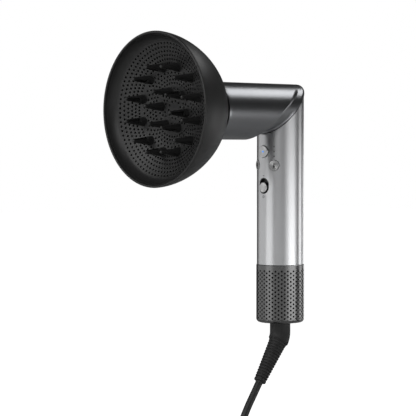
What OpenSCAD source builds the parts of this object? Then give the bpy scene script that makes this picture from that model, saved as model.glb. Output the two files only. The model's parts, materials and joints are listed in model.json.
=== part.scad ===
// Hair dryer with an upright handle, a level barrel and a bowl diffuser.
// +Z is up, the handle's axis is Z, and the barrel blows along -Y.
// The origin is on the handle's axis, where a hand holds it.

/* [Handle] */
// Diameter of the handle
handle_d = 41.6; // [38:0.2:46]
// Wall of the handle's tube
handle_wall = 1.6; // [1.2:0.1:2]
// Height of the mitred corner's centre above the grip point
mitre_z = 100; // [95:1:110]
// Lower end of the handle's tube below the grip point
handle_drop = 36.2; // [34:0.1:40]

/* [Barrel] */
// Diameter of the barrel
barrel_d = 49.6; // [48.8:0.2:51]
// Distance from the handle's axis to the barrel's front face
barrel_reach = 84.7; // [80:0.1:95]
// Drop of the barrel's axis below the corner's centre
barrel_drop = 1.2; // [0.6:0.1:1.6]
// Wall of the barrel
barrel_wall = 1.8; // [1.4:0.1:2]
// Diameter of the elbow behind the barrel
elbow_d = 42.4; // [41.8:0.2:43]

/* [Intake] */
// Diameter of the intake sleeve
sleeve_d = 42.5; // [42:0.1:46]
// Length of the intake sleeve
sleeve_len = 51.4; // [48:0.1:56]
// Rows of holes in the sleeve
hole_rows = 6; // [4:1:6]
// Columns of holes around the sleeve
hole_columns = 24; // [16:8:32]
// Diameter of one hole
hole_d = 1.75; // [1.2:0.05:1.9]
// Height between two rows
row_pitch = 7.26; // [7:0.02:7.4]

/* [Diffuser] */
// Diameter of the diffuser's rim
rim_d = 130.7; // [120:0.1:140]
// Distance from the handle's axis to the rim
rim_reach = 149.8; // [148:0.1:152]
// Wall of the bowl
bowl_wall = 2.2; // [1.8:0.1:3]
// Length of a finger
finger_len = 19.7; // [18:0.1:20]
// Radius of the outer ring of fingers
outer_ring_r = 36.6; // [34:0.2:38]
// Radius of the inner ring of fingers
inner_ring_r = 16; // [15:1:18]

/* [Controls] */
// Diameter of the mode button
mode_d = 10.4; // [9:0.2:11]
// Diameter of the heat and speed buttons
side_d = 9; // [8:0.2:9.4]
// Angle of the side buttons from the front
side_angle = 29.5; // [28:0.5:34]
// Diameter of the power slider's knob
knob_d = 8.8; // [8:0.2:9]
// Travel of the power slider
slider_travel = 2.6; // [2:0.1:3]

/* [Cord] */
// Diameter of the cord
cord_d = 6.5; // [6:0.1:7]
// Turns in the folded hank
hank_turns = 6; // [4:1:6]

/* [Hidden] */

$fn = 96;
slack = 0.2;                              // gap between fixed neighbours
run = 0.4;                                // gap beside a moving part
big = 200;                                // size of a cutting block

handle_r = handle_d / 2;
handle_in = handle_r - handle_wall;
barrel_r = barrel_d / 2;
barrel_in = barrel_r - barrel_wall;
barrel_z = mitre_z - barrel_drop;
elbow_r = elbow_d / 2;
elbow_z = barrel_z + barrel_r - elbow_r;  // the elbow's top is flush with the barrel's
elbow_reach = 3;                          // how far the elbow goes in past the barrel's rear cut
ledge_wall = 2.5;                         // wall that closes the barrel's rear cut, along the barrel
elbow_wall = 2;
seam = 0.8;                               // width of the mitre's seam
step_shift = 16;                          // the barrel's sloped rear cut at its own axis
step_slope = 42;                          // lean of that cut from level

bezel = 0.4;                              // gap round each button
mode_z = mitre_z - 36.3;
side_z = mitre_z - 48.2;
pocket_z = mitre_z - 66.5;
knob_z = pocket_z - slider_travel / 2;
pocket_len = 14;
pocket_w = 11.4;
led_z = [mitre_z - 32.1, mitre_z - 36.4, mitre_z - 40.6];
led_d = 1.1;
board_in = 14.9;                          // the control board wraps the duct
board_out = 15.5;
switch_top = 16.3;
flange_in = 17.3;                         // underside of a button's flange
flange_t = 0.6;

duct_low_r = 17;                          // duct round the motor
duct_high_r = 14.6;                       // duct behind the controls
duct_wall = 1;
duct_low_z = 14;
duct_high_z = 19;
duct_top = 74;
motor_r = 13.4;
motor_wall = 1;
motor_z0 = -26;
motor_z1 = 8;
hub_r = 7.4;
hub_in = 6.6;
hub_z0 = -13;
shaft_r = 1.5;
bearing_r = 3.5;
bearing_h = 2.5;

sleeve_r = sleeve_d / 2;
sleeve_in = sleeve_r - 1.7;
sleeve_top = -handle_drop - slack;
sleeve_z = sleeve_top - sleeve_len;
sleeve_floor = 1.6;
sleeve_mouth = 11;                        // hole in the sleeve's floor for the boot
first_row = 5.3;                          // first row of holes below the sleeve's top
cage_r = 18.5;
cage_ribs = 6;
plate_z = sleeve_z + sleeve_floor + slack;
plate_t = 3;

boot_r = 9.1;
boot_turn_z = -101.2;                       // height where the boot bends
boot_lean = 34;                           // lean of its ribbed tail from straight down
boot_tail = 45.4;
boot_ribs = 15;

bowl_back = 94.8;                         // where the bowl opens out of its collar
bowl_neck = 27;
collar_r = 24.9;
dish_edge_r = 57;                         // the perforated plate is dished
dish_edge = 139.3;
dish_back = 125.3;
dish_power = 2.4;
dish_t = 1.6;

// the cord's middle line, from the boot's end down to the hank
cord_path = [[0, -25.4, -138.8], [0, -32.3, -149.1], [0, -39.3, -159.5], [0, -45.9, -171], [0, -50.6, -182.5],
    [0, -53.3, -194], [0, -54, -206], [0, -54, -218]];
// from the hank's top down to the plug
tail_path = [[34.5, -76, -209.2], [38, -66, -211], [41.5, -58.5, -217], [44, -55.5, -226], [45, -56, -236],
    [45, -58, -246], [45, -60, -256]];
fold_d = 6 * cord_d;                      // one run of the hank to the next, across its fold
run_len = 12 * cord_d;                    // straight part of a run
hank_top = -206;
hank_x = (hank_turns - 1) * cord_d / 2;
hank_y = -54 - fold_d / 2;
hank_mid = hank_top - fold_d / 2 - run_len / 2 - cord_d / 2;
plug_top = -256;
tie_w = 14;
tie_t = 1.4;

black = "#1c1d1f";
gunmetal = "#4b4d50";
silver = "#b9bbbd";

// the side above the corner's 45 degree mitre, shifted along its normal
module above_mitre(shift) {
    translate([0, 0, mitre_z]) rotate([45, 0, 0]) translate([-big / 2, -big / 2, shift]) cube(big);
}
// a piece built along local Z is laid along the barrel's axis
module on_barrel(reach = 0, z = barrel_z) {
    translate([0, -reach, z]) rotate([90, 0, 0]) children();
}
// a piece built along local Z points out of the handle at a height and an angle from the front
module on_handle(angle, z) {
    translate([0, 0, z]) rotate([0, 0, angle]) rotate([90, 0, 0]) children();
}
module tube(r_out, r_in, h) {
    difference() {
        cylinder(h = h, r = r_out);
        translate([0, 0, -1]) cylinder(h = h + 2, r = r_in);
    }
}
module oval(len, w) {
    square([w, len - w], center = true);
    for (side = [-1, 1]) translate([0, side * (len - w) / 2]) circle(d = w);
}
// a round wire from point to point
module wire(points, d) {
    for (i = [0 : len(points) - 2]) {
        step = points[i + 1] - points[i];
        length = norm(step);
        translate(points[i]) rotate([0, acos(step[2] / length), atan2(step[1], step[0])])
            cylinder(h = length, d = d, $fn = 24);
    }
    for (i = [1 : len(points) - 2]) translate(points[i]) sphere(d = 1.1 * d, $fn = 24);
}

// ---- outer shells ----

module handle_shell() color(silver) difference() {
    translate([0, 0, -handle_drop]) cylinder(h = handle_drop + mitre_z + 2 * handle_r, r = handle_r);
    translate([0, 0, -handle_drop - 1]) cylinder(h = handle_drop + mitre_z + 3 * handle_r, r = handle_in);
    above_mitre(-seam / 2);
    on_handle(0, mode_z) cylinder(h = big, d = mode_d + 2 * bezel);
    for (side = [-1, 1]) {
        on_handle(side * side_angle, side_z) cylinder(h = big, d = side_d + 2 * bezel);
        for (z = led_z) on_handle(side * side_angle, z) cylinder(h = big, d = led_d + slack, $fn = 24);
    }
    on_handle(0, pocket_z) linear_extrude(height = big) oval(pocket_len + slack, pocket_w + slack);
}

module elbow_outside(r, back_r, extra = 0) intersection() {
    on_barrel(-2 * handle_r, elbow_z) cylinder(h = 4 * handle_r + extra, r = r);
    union() {
        translate([0, 0, mitre_z - handle_r - 10]) cylinder(h = 3 * handle_r, r = back_r);
        translate([-big / 2, -big, 0]) cube(big);
    }
}

module behind_ledge(shift) translate([0, -step_shift - shift, barrel_z]) rotate([step_slope, 0, 0])
    translate([-big / 2, -big / 2, -big]) cube(big);

module elbow_shell() color(gunmetal) difference() {
    intersection() {
        elbow_outside(elbow_r, handle_r + 0.4);
        above_mitre(seam / 2);
        behind_ledge(elbow_reach);
    }
    elbow_outside(elbow_r - elbow_wall, handle_in, 1);
}

module seam_ring() color(black) intersection() {
    translate([0, 0, mitre_z - 2 * handle_r]) difference() {
        cylinder(h = 4 * handle_r, r = handle_r - 0.5);
        translate([0, 0, -1]) cylinder(h = 5 * handle_r, r = handle_in - 1);
    }
    above_mitre(-seam / 2);
    translate([0, 0, mitre_z]) rotate([45, 0, 0]) translate([-big / 2, -big / 2, seam / 2 - big]) cube(big);
}

module barrel_shell() color(gunmetal) difference() {
    on_barrel(-handle_r) cylinder(h = handle_r + barrel_reach, r = barrel_r);
    difference() {
        on_barrel(-handle_r - 1) cylinder(h = handle_r + barrel_reach + 2, r = barrel_in);
        behind_ledge(ledge_wall);
    }
    behind_ledge(0);
    intersection() {
        on_barrel(-2 * handle_r, elbow_z) cylinder(h = 4 * handle_r, r = elbow_r + slack / 2);
        behind_ledge(elbow_reach + slack);
    }
}

// ---- outlet and heater ----

outlet_t = 6;
outlet_hole = 18.8;
magnet_d = 3.6;
magnets = 6;

module magnet_spots() for (i = [0 : magnets - 1]) rotate([0, 0, (i + 0.5) * 360 / magnets])
    translate([0, (outlet_hole + barrel_in) / 2, 0]) children();

module outlet_ring() color(black) on_barrel(barrel_reach - outlet_t - 0.8) difference() {
    tube(barrel_in - slack / 2, outlet_hole, outlet_t);
    magnet_spots() translate([0, 0, outlet_t - 2.4]) cylinder(h = 3, d = magnet_d, $fn = 32);
}

module outlet_magnets() color(silver) on_barrel(barrel_reach - 2.4 - 0.8)
    magnet_spots() cylinder(h = 2.2, d = magnet_d - slack, $fn = 32);

core_r = 8.5;
module outlet_core() color(black) on_barrel(barrel_reach - 12) {
    difference() {
        union() {
            cylinder(h = 6, r = core_r);
            translate([0, 0, 6]) cylinder(h = 4, r1 = core_r, r2 = core_r - 3);
        }
        translate([0, 0, -1]) cylinder(h = 9, r = core_r - 1.6);
    }
    for (i = [0 : 5]) rotate([0, 0, 60 * i]) translate([-0.6, core_r - 0.8, 0])
        cube([1.2, barrel_in - core_r + 0.6, 4.8]);
    tube(14.2, 13, 4.8);
}

heater_r = 20.2;
heater_back = 46;
heater_len = 26;
coil_radii = [15.2, 10.6];
coil_turns = 5;
coil_pitch = 3.9;

module heater_tube() color("#c9b98f") on_barrel(heater_back) tube(heater_r, heater_r - 0.6, heater_len);

module heater_frame() color("#d8cca6") on_barrel(heater_back + 2) difference() {
    union() for (a = [0, 90]) rotate([0, 0, a])
        translate([-0.5, -heater_r + 0.9, 0]) cube([1, 2 * heater_r - 1.8, heater_len - 4]);
    for (r = coil_radii, i = [0 : coil_turns - 1]) translate([0, 0, 3 + coil_pitch * i])
        tube(r + 0.6, r - 0.6, 1.2);
}

module heater_coils() color("#8d7a66") on_barrel(heater_back + 2)
    for (r = coil_radii, i = [0 : coil_turns - 1]) translate([0, 0, 3.6 + coil_pitch * i])
        rotate_extrude() translate([r, 0]) circle(r = 0.4, $fn = 16);

module thermostat() color("#e9e6dc") on_barrel(heater_back + 10) translate([5.6, 1.8, 0]) rotate([90, 0, 0])
    cylinder(h = 1.2, d = 6);

module thermal_fuse() color("#d9d6cf") on_barrel(heater_back + 10) translate([-5.4, 2.6, 0]) {
    cylinder(h = 9, d = 2.8, $fn = 32);
    translate([0, 0, -3]) cylinder(h = 15, d = 0.8, $fn = 16);
}

module ion_module() color("#2c4f7c") translate([-8, -16, mitre_z + 12]) cube([16, 20, 6]);

module ion_needle() color(silver) on_barrel(barrel_reach - 13) rotate([0, 0, 30]) translate([0, 11, 0]) {
    cylinder(h = 7, d = 1, $fn = 16);
    translate([0, 0, 7]) cylinder(h = 3, d1 = 1, d2 = 0.3, $fn = 16);
}

module heater_leads() color("#b43a2e") for (side = [-1, 1])
    wire([[side * 5, 15.8, 70.2], [side * 4.4, 8, mitre_z + 5], [side * 3, -1.8 - heater_back, barrel_z + 2]],
        1.6);

// ---- air duct and motor in the handle ----

module inner_duct() color("#33353a") rotate_extrude() polygon([
    [duct_low_r - duct_wall, -33], [duct_low_r, -33], [duct_low_r, duct_low_z], [duct_high_r, duct_high_z],
    [duct_high_r, duct_top], [duct_high_r - duct_wall, duct_top], [duct_high_r - duct_wall, duct_high_z],
    [duct_low_r - duct_wall, duct_low_z]]);

module motor_rings() color("#5a5d60") for (z = [-24, 1.5])
    translate([0, 0, z]) tube(duct_low_r - duct_wall, motor_r, 4);

module motor_housing() color("#a4a7aa") {
    translate([0, 0, motor_z0]) tube(motor_r, motor_r - motor_wall, motor_z1 - motor_z0);
    translate([0, 0, hub_z0]) tube(hub_r, hub_in, motor_z1 - hub_z0);
    for (z = [hub_z0, motor_z1 - bearing_h]) translate([0, 0, z]) tube(hub_in, bearing_r, bearing_h);
    for (i = [0 : 8]) rotate([0, 0, 40 * i]) translate([hub_r - 0.2, -0.5, -3])
        cube([motor_r - motor_wall - hub_r + 0.4, 1, 10]);
}

module stator_core() color("#77797c") translate([0, 0, -7]) difference() {
    cylinder(h = 9, r = hub_in);
    translate([0, 0, -1]) cylinder(h = 11, r = 3.4);
    for (a = [45 : 90 : 315]) rotate([0, 0, a]) translate([4.9, 0, -1]) cylinder(h = 11, r = 1.3, $fn = 24);
}

module stator_coils() color("#b5723a") for (a = [45 : 90 : 315]) rotate([0, 0, a])
    translate([4.9, 0, -8.4]) cylinder(h = 11.8, r = 1.15, $fn = 24);

module motor_bearings() color("#cfd2d4") for (z = [hub_z0, motor_z1 - bearing_h])
    translate([0, 0, z]) tube(bearing_r, shaft_r + 0.03, bearing_h);

module rotor_shaft() color("#d7dadd") translate([0, 0, -24]) cylinder(h = 33, r = shaft_r);

module rotor_magnet() color("#55585b") translate([0, 0, -6.5]) tube(2.9, shaft_r, 8);

module impeller() color("#d9dcde") translate([0, 0, -22.5]) {
    difference() {
        union() {
            cylinder(h = 7.5, r1 = 4.6, r2 = 7);
            intersection() {
                cylinder(h = 7.5, r = motor_r - motor_wall - run);
                for (i = [0 : 12]) rotate([0, 0, i * 360 / 13]) translate([4, 0, 3.6]) rotate([48, 0, 0])
                    cube([20, 0.8, 14], center = true);
            }
        }
        translate([0, 0, -1]) cylinder(h = 10, r = shaft_r);
    }
}

module driver_board() color("#1f5a3c") translate([0, 0, 10.4]) {
    tube(11.6, 3, 1.2);
    for (a = [0 : 60 : 300]) rotate([0, 0, a]) translate([7.5, -2, 1.2]) cube([3, 4, 1.4]);
}

module power_board() color("#1f5a3c") translate([0, 0, 20]) {
    translate([-9, 15.4, 0]) cube([18, 1.2, 50]);
    for (z = [6, 20, 34]) translate([-4, 16.6, z]) cube([8, 1.4, 8]);
}

// ---- controls ----

module board_sector(r_out, r_in, angle) rotate([0, 0, -90 - angle / 2])
    rotate_extrude(angle = angle) translate([r_in, 0]) square([r_out - r_in, 52]);

module control_board() color("#27613f") translate([0, 0, 22]) board_sector(board_out, board_in, 92);

module switch_block(length) difference() {
    translate([-2.5, -length / 2, board_out + 0.05]) cube([5, length, switch_top - board_out - 0.05]);
    translate([0, 0, board_out - 1]) linear_extrude(height = 3) oval(length - 2, 2.8);
}

module tact_switches() color("#2a2b2d") {
    on_handle(0, mode_z) switch_block(5);
    for (side = [-1, 1]) on_handle(side * side_angle, side_z) switch_block(5);
}

module slide_switch() color("#2a2b2d") on_handle(0, pocket_z) switch_block(9);

module button(d, proud) {
    translate([0, 0, flange_in]) cylinder(h = handle_r + proud - flange_in - 0.5, d = d);
    translate([0, 0, handle_r + proud - 0.5]) cylinder(h = 0.5, d1 = d, d2 = d - 1);
    translate([0, 0, flange_in]) cylinder(h = flange_t, d = d + 1.6);
    translate([0, 0, switch_top + 0.1]) cylinder(h = flange_in - switch_top, d = 2, $fn = 32);
}

mode_led_d = 1.6;
mode_proud = 0.9;
module mode_button() color(silver) on_handle(0, mode_z) difference() {
    button(mode_d, mode_proud);
    translate([0, 0, flange_in + 1]) cylinder(h = 10, d = mode_led_d, $fn = 32);
}

module mode_led() color("#5fb6ff") on_handle(0, mode_z) translate([0, 0, flange_in + 1])
    cylinder(h = handle_r + mode_proud - flange_in - 1, d = mode_led_d, $fn = 32);

module heat_button() color(silver) on_handle(side_angle, side_z) button(side_d, 0.4);

module speed_button() color(silver) on_handle(-side_angle, side_z) button(side_d, 0.4);

module slider_pocket() color(black) intersection() {
    on_handle(0, pocket_z) difference() {
        translate([0, 0, 16.7]) linear_extrude(height = 5) oval(pocket_len, pocket_w);
        translate([0, 0, 17.4]) linear_extrude(height = 5) oval(pocket_len - 1.2, pocket_w - 1.2);
        translate([0, 0, 16]) linear_extrude(height = 5) oval(slider_travel + 3, 3);
    }
    cylinder(h = big, r = handle_r - 0.3);
}

module power_slider() color(silver) on_handle(0, knob_z) {
    translate([0, 0, 17.8]) cylinder(h = 3.2, d = knob_d);
    translate([0, 0, 21]) cylinder(h = 0.6, d1 = knob_d, d2 = knob_d - 1.2);
    translate([0, 0, 15.9]) cylinder(h = 2, d = 2, $fn = 32);
}

module led_pipes(side) color("#f3f6fa") for (z = led_z) on_handle(side * side_angle, z)
    translate([0, 0, board_out + 0.05]) cylinder(h = handle_r - board_out, d = led_d, $fn = 24);

module led_pipes_right() led_pipes(1);
module led_pipes_left() led_pipes(-1);

// ---- air intake ----

cage_ring_z = -46;
module intake_cage() color(black) {
    difference() {
        union() {
            translate([0, 0, cage_ring_z]) tube(cage_r, 16.4, sleeve_top - cage_ring_z);
            translate([0, 0, sleeve_top]) tube(handle_in - slack / 2, 17.2, 3);
        }
        translate([-4.5, 10, cage_ring_z - 1]) cube([9, 20, 20]);
    }
    for (i = [0 : cage_ribs - 1]) rotate([0, 0, i * 360 / cage_ribs]) difference() {
        translate([16.4, -1.5, plate_z + plate_t]) cube([1.9, 3, cage_ring_z - plate_z - plate_t + 1]);
        translate([17.3, 0, plate_z]) cylinder(h = 9, d = 1.1, $fn = 24);
    }
}

module cage_screws() color(silver) for (i = [0 : cage_ribs - 1]) rotate([0, 0, i * 360 / cage_ribs])
    translate([17.3, 0, plate_z + 0.4]) {
        cylinder(h = 8, d = 1, $fn = 24);
        cylinder(h = 1, d = 1.9, $fn = 24);
    }

module base_plate() color(black) difference() {
    translate([0, 0, plate_z]) cylinder(h = plate_t, r = cage_r - 0.1);
    translate([0, 0, plate_z - 1]) cylinder(h = plate_t + 2, r = 5.5);
    for (i = [0 : cage_ribs - 1]) rotate([0, 0, i * 360 / cage_ribs]) translate([17.3, 0, plate_z - 1]) {
        cylinder(h = plate_t + 2, d = 1.1, $fn = 24);
        cylinder(h = 2.5, d = 2, $fn = 24);
    }
}

module sleeve_outline(round_r) {
    difference() {
        union() {
            translate([0, round_r]) square([sleeve_r, sleeve_len - round_r]);
            square([sleeve_r - round_r, round_r + 1]);
            translate([sleeve_r - round_r, round_r]) circle(r = round_r, $fn = 64);
        }
        translate([-1, sleeve_floor]) square([sleeve_in + 1, sleeve_len]);
        translate([-1, -1]) square([sleeve_mouth + 1, sleeve_len]);
    }
}

module intake_sleeve() color(gunmetal) difference() {
    translate([0, 0, sleeve_z]) rotate_extrude() sleeve_outline(3.4);
    for (c = [0 : hole_columns - 1], k = [0 : hole_rows - 1])
        on_handle(c * 360 / hole_columns, sleeve_top - first_row - (k + 0.5 * (c % 2)) * row_pitch)
            translate([0, 0, sleeve_in - 1]) cylinder(h = 4, d = hole_d, $fn = 16);
}

module intake_filter() color("#3a3c3f") translate([0, 0, plate_z + 0.6])
    tube(sleeve_in - 0.2, sleeve_in - 0.5, sleeve_len - 6);

module supply_leads() color("#2d4f9b") for (side = [-1, 1])
    wire([[side * 2.2, 4, plate_z + 6], [side * 2.2, 17.9, -37], [side * 2.2, 17.9, 19.9]], 1.8);

// ---- boot, cord and plug ----

module strain_relief() color(black) {
    translate([0, 0, plate_z + plate_t]) cylinder(h = 2, r = 7.6);
    translate([0, 0, plate_z - 1]) cylinder(h = plate_t + 2, r = 5.4);
    translate([0, 0, boot_turn_z]) cylinder(h = plate_z - slack - boot_turn_z, r = boot_r);
    translate([0, 0, boot_turn_z]) sphere(r = boot_r);
    translate([0, 0, boot_turn_z]) rotate([180 - boot_lean, 0, 0]) {
        cylinder(h = boot_tail - 0.6, r1 = 7, r2 = 4);
        for (i = [0 : boot_ribs - 1]) translate([0, 0, 3 + i * (boot_tail - 4.9) / (boot_ribs - 1)])
            cylinder(h = 1.9, r = 7.9 - 2.5 * i / (boot_ribs - 1));
    }
}

// a tube of n sides swept along a path that never runs along X
function unit(v) = v / norm(v);
function path_dir(p, i) = unit(p[min(i + 1, len(p) - 1)] - p[max(i - 1, 0)]);
function ring_points(p, i, r, n) =
    let (d = path_dir(p, i), up = unit(cross(d, [1, 0, 0])), side = cross(up, d))
    [for (k = [0 : n - 1]) p[i] + r * (cos(360 * k / n) * side + sin(360 * k / n) * up)];
module swept_tube(p, r, n) {
    last = len(p) - 1;
    points = [for (i = [0 : last]) each ring_points(p, i, r, n)];
    walls = [for (i = [0 : last - 1], k = [0 : n - 1])
        [i * n + k, i * n + (k + 1) % n, (i + 1) * n + (k + 1) % n, (i + 1) * n + k]];
    ends = [[for (k = [n - 1 : -1 : 0]) k], [for (k = [0 : n - 1]) last * n + k]];
    polyhedron(points = points, faces = concat(walls, ends));
}

module cord() color(black) swept_tube(cord_path, cord_d / 2, 10);

module cord_tail() color(black) swept_tube(tail_path, cord_d / 2, 10);

module cord_hank() color(black) translate([hank_x - hank_turns * cord_d / 2, hank_y, hank_mid])
    rotate([90, 0, 90]) linear_extrude(height = hank_turns * cord_d)
        oval(run_len + fold_d + cord_d, fold_d + cord_d);

module cord_tie() color("#2b2c2e") translate([hank_x, hank_y, hank_mid - tie_w / 2])
    linear_extrude(height = tie_w) difference() {
        square([hank_turns * cord_d + 2 * tie_t, fold_d + cord_d + 2 * tie_t], center = true);
        square([hank_turns * cord_d, fold_d + cord_d], center = true);
    }

plug_at = [tail_path[6][0], tail_path[6][1], plug_top];
module plug_body() color(black) translate(plug_at) mirror([0, 0, 1]) {
    cylinder(h = 14, r1 = 4.2, r2 = 6);
    translate([0, 0, 14]) intersection() {
        cylinder(h = 22, r = 12.5);
        translate([-7.5, -15, 0]) cube([15, 30, 22]);
    }
}

module plug_blades() color("#c8b27a") translate(plug_at - [0, 0, 36])
    for (side = [-1, 1]) translate([-3.15, side * 6.35 - 0.75, -17]) difference() {
        cube([6.3, 1.5, 17]);
        translate([3.15, -1, 3.4]) rotate([-90, 0, 0]) cylinder(h = 4, d = 3.2, $fn = 24);
    }

// ---- diffuser ----

// radius of the bowl's outside at a share of its depth, from its neck to its rim
function bowl_r(t) = bowl_neck + (rim_d / 2 - bowl_neck) * pow(1 - pow(1 - t, 1.7), 0.66);
bowl_steps = 22;
bowl_depth = rim_reach - bowl_back;
bowl_outside = [for (i = [0 : bowl_steps]) let (t = pow(i / bowl_steps, 1.6)) [bowl_r(t), bowl_depth * t]];
bowl_inside = [for (i = [bowl_steps : -1 : 1]) let (t = pow(i / bowl_steps, 1.6))
    [max(bowl_r(t) - bowl_wall * (1 + 0.6 * (1 - t)), 20), bowl_depth * t + bowl_wall * pow(1 - t, 0.6)]];

module diffuser_bowl() color(black) on_barrel(bowl_back) rotate_extrude($fn = 180)
    polygon(concat([[collar_r, 0]], bowl_outside, bowl_inside, [[20, 2.2], [20, 0]]));

function dish_at(r) = dish_back + (dish_edge - dish_back) * pow(r / dish_edge_r, dish_power);
dish_steps = 12;
dish_radii = [for (i = [0 : dish_steps]) dish_edge_r * i / dish_steps];
// the plate's brim curves up to the bowl's rim and presses into it, from front edge to rear edge
dish_brim = [[59.6, 2.2], [61.4, 5], [62.4, 7.9], [62.95, 7.9], [62.9, 6.4], [62.7, 5.3], [60.9, 2.4], [58.3, -0.4]];
dish_front = [for (r = dish_radii) [r, dish_at(r)]];
dish_rear = [for (i = [dish_steps : -1 : 0]) [dish_radii[i], dish_at(dish_radii[i]) - dish_t]];
plate_rings = [[7.5, 8], [25, 24], [45, 36], [51, 40]];

module diffuser_plate() color(black) on_barrel() difference() {
    rotate_extrude($fn = 120)
        polygon(concat(dish_front, [for (p = dish_brim) [p[0], dish_edge + p[1]]], dish_rear));
    for (ring = plate_rings, i = [0 : ring[1] - 1]) rotate([0, 0, i * 360 / ring[1]])
        translate([ring[0], 0, dish_back - 4]) cylinder(h = 30, d = 1.6, $fn = 16);
}

// a tapered finger with a trough down one side, and a round tip
finger_sunk = 1.7;
finger_base_r = 4.2;
finger_tip_r = 1.5;
module finger() difference() {
    union() {
        translate([0, 0, -finger_sunk])
            cylinder(h = finger_len - finger_tip_r + finger_sunk, r1 = finger_base_r, r2 = finger_tip_r, $fn = 48);
        translate([0, 0, finger_len - finger_tip_r]) sphere(r = finger_tip_r, $fn = 48);
    }
    translate([-2.3, 0, 4.5]) rotate([0, 5, 0]) cylinder(h = finger_len - 6.5, r1 = 2.1, r2 = 0.9, $fn = 32);
}

module outer_fingers() color(black) on_barrel() for (i = [0 : 11]) rotate([0, 0, 15 + 30 * i])
    translate([outer_ring_r, 0, dish_at(outer_ring_r)]) finger();

inner_turn = 49;
module inner_fingers() color(black) on_barrel() for (i = [0 : 5]) rotate([0, 0, inner_turn + 60 * i])
    translate([inner_ring_r, 0, dish_at(inner_ring_r)]) rotate([0, 0, 180]) finger();

collar_gap = 0.3;
collar_back = barrel_reach + collar_gap;
module diffuser_collar() color(black) on_barrel() rotate_extrude($fn = 120) polygon([
    [18.3, barrel_reach - 3.4], [18.3, collar_back + 1.4], [17.2, collar_back + 5], [17.2, bowl_back + 8],
    [19.9, bowl_back + 8], [19.9, bowl_back - 0.1], [collar_r, bowl_back - 0.1], [collar_r, collar_back + 1.6],
    [23.4, collar_back + 1.4], [23.4, collar_back], [22.9, collar_back], [22.9, collar_back + 1.2],
    [19, collar_back + 1.2], [19, collar_back], [18.4, collar_back], [18.4, barrel_reach - 3.4]]);

module steel_ring() color(silver) on_barrel(collar_back + 0.1) tube(22.8, 19.1, 1);

handle_shell();
elbow_shell();
seam_ring();
barrel_shell();
outlet_ring();
outlet_core();
outlet_magnets();
heater_tube();
heater_frame();
heater_coils();
thermostat();
thermal_fuse();
ion_module();
ion_needle();
heater_leads();
inner_duct();
motor_rings();
motor_housing();
stator_core();
stator_coils();
motor_bearings();
rotor_shaft();
rotor_magnet();
impeller();
driver_board();
power_board();
control_board();
tact_switches();
slide_switch();
mode_button();
mode_led();
heat_button();
speed_button();
slider_pocket();
power_slider();
led_pipes_right();
led_pipes_left();
intake_cage();
cage_screws();
base_plate();
intake_sleeve();
intake_filter();
supply_leads();
strain_relief();
cord();
cord_hank();
cord_tail();
cord_tie();
plug_body();
plug_blades();
diffuser_bowl();
diffuser_plate();
outer_fingers();
inner_fingers();
diffuser_collar();
steel_ring();
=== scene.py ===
# %% [markdown]
# # A hair dryer with an upright handle, a level barrel and a bowl diffuser
# Each cell after that makes one piece or one finish, and says what it is on the real
# object, how it could be made, and why this way was chosen. Lengths in the formulas
# are in millimetres, because that is how a maker would measure the dryer.

# %% Load the frame
import json

import bpy
import numpy as np
from mathutils import Matrix, Vector


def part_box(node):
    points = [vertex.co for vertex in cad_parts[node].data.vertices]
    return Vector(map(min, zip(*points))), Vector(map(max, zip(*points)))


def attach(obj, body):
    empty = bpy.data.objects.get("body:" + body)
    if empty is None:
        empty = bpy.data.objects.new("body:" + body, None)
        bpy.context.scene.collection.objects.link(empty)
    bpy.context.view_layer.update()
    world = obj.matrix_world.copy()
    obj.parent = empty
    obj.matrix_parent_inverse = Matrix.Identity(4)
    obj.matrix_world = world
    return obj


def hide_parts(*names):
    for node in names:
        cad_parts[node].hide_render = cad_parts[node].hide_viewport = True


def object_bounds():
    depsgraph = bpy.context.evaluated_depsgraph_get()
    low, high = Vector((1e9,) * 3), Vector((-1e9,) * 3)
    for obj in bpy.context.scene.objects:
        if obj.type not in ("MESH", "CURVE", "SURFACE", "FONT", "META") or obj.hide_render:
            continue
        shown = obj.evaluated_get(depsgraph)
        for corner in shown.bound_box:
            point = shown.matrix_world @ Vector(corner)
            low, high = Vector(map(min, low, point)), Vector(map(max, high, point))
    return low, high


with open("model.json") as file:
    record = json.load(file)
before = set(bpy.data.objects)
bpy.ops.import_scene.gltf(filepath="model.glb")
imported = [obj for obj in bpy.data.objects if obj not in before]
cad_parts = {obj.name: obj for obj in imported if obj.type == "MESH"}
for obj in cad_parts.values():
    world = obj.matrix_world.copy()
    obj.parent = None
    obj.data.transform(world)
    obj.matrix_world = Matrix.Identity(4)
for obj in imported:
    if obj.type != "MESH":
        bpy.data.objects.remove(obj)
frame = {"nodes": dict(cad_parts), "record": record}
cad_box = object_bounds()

MM = 0.001
shown = [round((high - low) / MM, 1) for low, high in zip(*cad_box)]
print("CAD box in mm:", shown, "with", len(frame["nodes"]), "nodes")

# %% [markdown]
# ## The camera
# A product shot is taken with a long lens from a few metres away, so that a barrel keeps
# its shape. The camera looks at the bent corner of the body from between the front and
# the left side, a little from above. Its place is worked out from three directions: the
# way it looks, its right, and its up. It has no shift, so it works for other views too.

# %% Camera
CORNER = Vector((0, 0, 0.1))
TURN, TILT = np.radians(47.39), np.radians(1.85)
DISTANCE, AIM_RIGHT, AIM_UP = 1.597, 0.06423, 0.08641

ahead = Vector((-np.sin(TURN) * np.cos(TILT), np.cos(TURN) * np.cos(TILT), -np.sin(TILT)))
right = Vector((np.cos(TURN), np.sin(TURN), 0))
up = right.cross(ahead)
aim = CORNER - AIM_RIGHT * right - AIM_UP * up

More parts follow.
